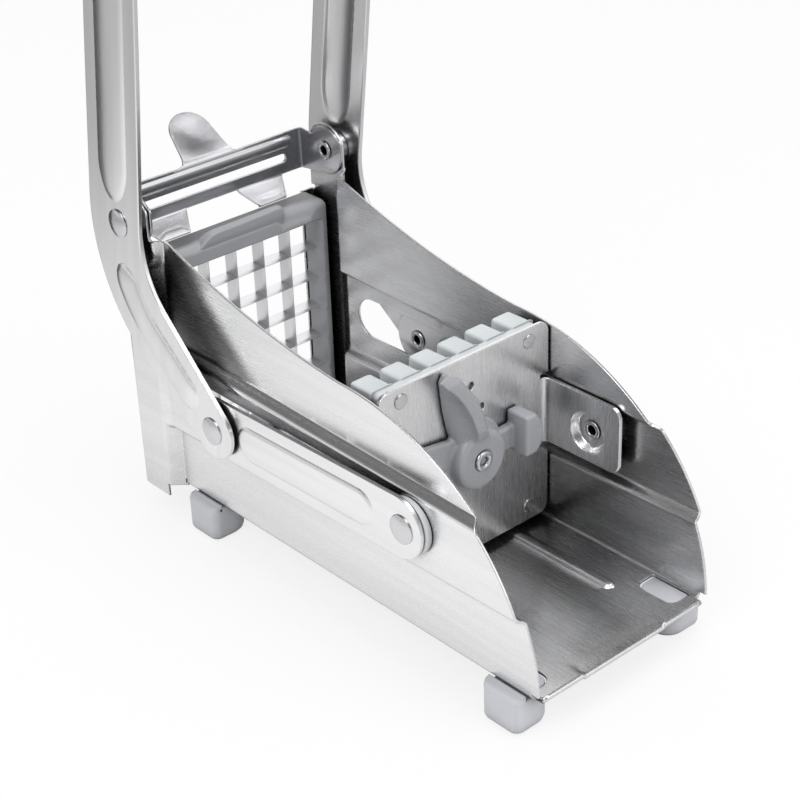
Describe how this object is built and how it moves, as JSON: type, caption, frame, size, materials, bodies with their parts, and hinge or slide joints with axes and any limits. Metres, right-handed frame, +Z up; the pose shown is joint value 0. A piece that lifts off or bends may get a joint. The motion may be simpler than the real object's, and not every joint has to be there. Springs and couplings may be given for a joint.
{
  "type": "french fry cutter",
  "caption": "Lever-driven french fry cutter: a folded steel tray with a blade cassette at the rear and a pusher driven by a two-armed handle through links.",
  "frame": {"origin": "on the table, under the middle of the overall box", "axes": "+X from the blades to the open front, +Y across the body to its right wall, +Z up"},
  "size_m": [0.2134, 0.099, 0.3562],
  "materials": {
    "brushed_stainless": "brushed",
    "rivet_steel": "bright",
    "blade_steel": "ground",
    "frame_plastic": "satin moulded",
    "peg_plastic": "satin moulded",
    "slot_bush_plastic": "smooth turned",
    "foot_rubber": "matt moulded",
    "knob_plastic": "fine matt moulded",
    "grip_plastic": "fine matt moulded"
  },
  "bodies": {
    "body": {"body_shell": "brushed_stainless", "foot_front_left": "foot_rubber", "foot_front_right": "foot_rubber", "foot_rear_left": "foot_rubber", "foot_rear_right": "foot_rubber", "cassette_frame": "frame_plastic", "vertical_blades": "blade_steel", "horizontal_blades": "blade_steel", "pivot_rivet_left": "rivet_steel", "pivot_rivet_right": "rivet_steel", "pivot_spacer_left": "brushed_stainless", "pivot_spacer_right": "brushed_stainless"},
    "handle": {"handle_arm_left": "brushed_stainless", "handle_arm_right": "brushed_stainless", "handle_crossbar": "brushed_stainless", "handle_grip": "grip_plastic", "crossbar_screws": "rivet_steel", "arm_rivet_left": "rivet_steel", "arm_rivet_right": "rivet_steel", "arm_washer_left": "brushed_stainless", "arm_washer_right": "brushed_stainless"},
    "link_left": {"link_left": "brushed_stainless", "link_stud_left": "rivet_steel"},
    "link_right": {"link_right": "brushed_stainless", "link_stud_right": "rivet_steel"},
    "pusher": {"pusher_plate": "brushed_stainless", "peg_block": "peg_plastic", "block_rivets": "rivet_steel", "slot_bush_left": "slot_bush_plastic", "slot_bush_right": "slot_bush_plastic", "slot_rivet_left": "rivet_steel", "slot_rivet_right": "rivet_steel", "knob_rivet": "rivet_steel"},
    "knob": {"lock_knob": "knob_plastic"},
    "latch": {"cassette_latch": "brushed_stainless"}
  },
  "joints": [
    {"name": "handle_pivot", "type": "hinge", "parent": "body", "child": "handle", "pos_m": [-0.0759, 0, 0.1145], "axis": [0, 1, 0], "range_deg": [0, 91]},
    {"name": "pusher_slide", "type": "slide", "parent": "body", "child": "pusher", "axis": [-1, 0, 0], "range_m": [0, 0.1065]},
    {"name": "latch_pivot", "type": "hinge", "parent": "body", "child": "latch", "pos_m": [-0.0759, 0, 0.1145], "axis": [0, 1, 0], "range_deg": [0, 30]},
    {"name": "knob_turn", "type": "hinge", "parent": "pusher", "child": "knob", "pos_m": [0.03823, 0, 0.055], "axis": [-1, 0, 0], "range_deg": [0, 60]},
    {"name": "link_left_pivot", "type": "hinge", "parent": "handle", "child": "link_left", "pos_m": [-0.03305, -0.0445, 0.05331], "axis": [0, 1, 0], "range_deg": [-79, 0]},
    {"name": "link_right_pivot", "type": "hinge", "parent": "handle", "child": "link_right", "pos_m": [-0.03305, 0.0445, 0.05331], "axis": [0, 1, 0], "range_deg": [-79, 0]}
  ],
  "couplings": [
    {"joint": "pusher_slide", "follows": "handle_pivot", "m_per_rad": 0.06703},
    {"joint": "link_left_pivot", "follows": "handle_pivot", "ratio": -0.86306},
    {"joint": "link_right_pivot", "follows": "handle_pivot", "ratio": -0.86306}
  ]
}
